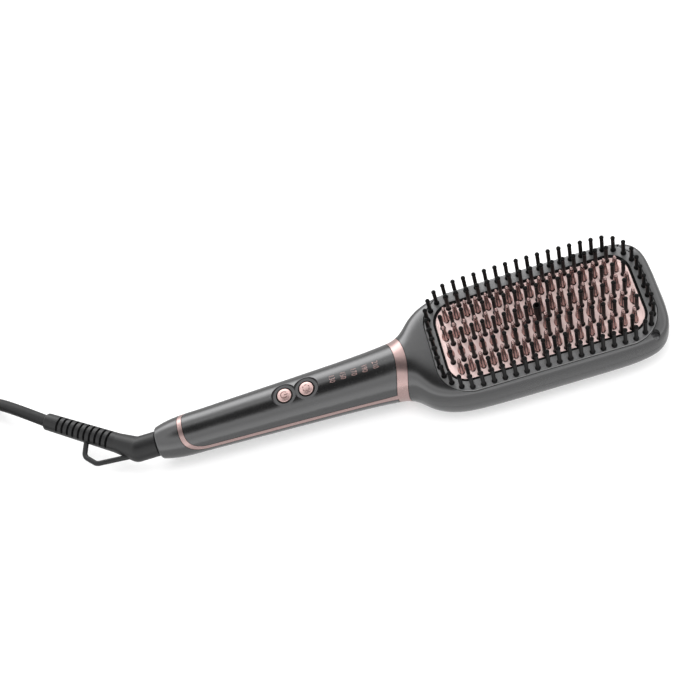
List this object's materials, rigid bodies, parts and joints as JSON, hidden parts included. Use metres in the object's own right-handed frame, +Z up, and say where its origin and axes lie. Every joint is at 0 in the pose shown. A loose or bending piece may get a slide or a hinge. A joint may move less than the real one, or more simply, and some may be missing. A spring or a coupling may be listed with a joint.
{
  "type": "heated hair straightening brush",
  "caption": "Handheld heated paddle brush with a toothed metal plate, ball-tip bristles, an ion outlet post, two push buttons and a swivelling mains cord.",
  "frame": {"origin": "on the table under the middle of the brush, which lies on its back, measured without the cord nodes", "axes": "+X from the cord end to the head's tip, +Y to the brush's left seen from the cord end, +Z up, the way the bristles point"},
  "size_m": [0.5126, 0.1426, 0.0488],
  "materials": {
    "accent": "metallised rose gold, polished",
    "housing": "charcoal soft touch",
    "screw_steel": "plain",
    "board": "coated",
    "component": "moulded",
    "led_lens": "clear lens",
    "light_pipe": "diffusing",
    "button": "satin charcoal",
    "plunger": "moulded",
    "inner_plastic": "moulded",
    "frame_plastic": "fine texture",
    "seal_rubber": "matt",
    "bristle_nylon": "satin nylon",
    "plate_metal": "rose-gold ceramic coating",
    "heater_ceramic": "ceramic",
    "clamp_metal": "plain",
    "mat_fibre": "woven fibre mat",
    "contact_metal": "plain",
    "glass_bead": "clear",
    "lead_rubber": "matt",
    "cord_rubber": "matt",
    "plug_plastic": "fine texture"
  },
  "bodies": {
    "root": {"accent_trim": "accent", "handle_top_cover": "housing", "handle_lower_shell": "housing", "handle_screws": "screw_steel", "board_screws": "screw_steel", "control_board": "board", "board_components": "component", "indicator_leds": "led_lens", "light_guide": "light_pipe", "switch_bodies": "component", "ion_generator": "component", "neck_sleeve": "inner_plastic", "head_front_shell": "housing", "head_back_shell": "housing", "head_screws": "screw_steel", "frame_screws": "screw_steel", "bristle_frame": "frame_plastic", "plate_seal": "seal_rubber", "edge_bristles": "bristle_nylon", "plate_bristles": "bristle_nylon", "heating_teeth": "plate_metal", "heating_plate": "plate_metal", "heater_pads": "heater_ceramic", "heater_clamp": "clamp_metal", "insulation_mat": "mat_fibre", "clamp_screws": "screw_steel", "thermal_fuse": "contact_metal", "temperature_sensor": "glass_bead", "ion_nozzle": "bristle_nylon", "ion_needle": "screw_steel", "heater_leads": "lead_rubber", "sensor_lead": "lead_rubber", "ion_lead": "lead_rubber", "swivel_retainer": "inner_plastic", "contact_springs": "contact_metal", "cord_tube": "cord_rubber", "cord_coil": "cord_rubber", "cord_tie": "cord_rubber", "plug_body": "plug_plastic", "plug_pins": "contact_metal"},
    "power_button": {"power_button": "button", "power_switch_plunger": "plunger"},
    "mode_button": {"mode_button": "button", "mode_switch_plunger": "plunger"},
    "swivel": {"cord_strain_relief": "cord_rubber", "swivel_spindle": "inner_plastic", "contact_rings": "contact_metal"}
  },
  "joints": [
    {"name": "power_press", "type": "slide", "parent": "root", "child": "power_button", "axis": [0, 0, -1], "range_m": [0, 0.0006], "stiffness_N_per_m": 500, "springref_m": -0.003},
    {"name": "mode_press", "type": "slide", "parent": "root", "child": "mode_button", "axis": [0, 0, -1], "range_m": [0, 0.0006], "stiffness_N_per_m": 500, "springref_m": -0.003},
    {"name": "cord_swivel", "type": "hinge", "parent": "root", "child": "swivel", "pos_m": [-0.147, 0, 0.0175], "axis": [1, 0, 0], "continuous": true}
  ]
}
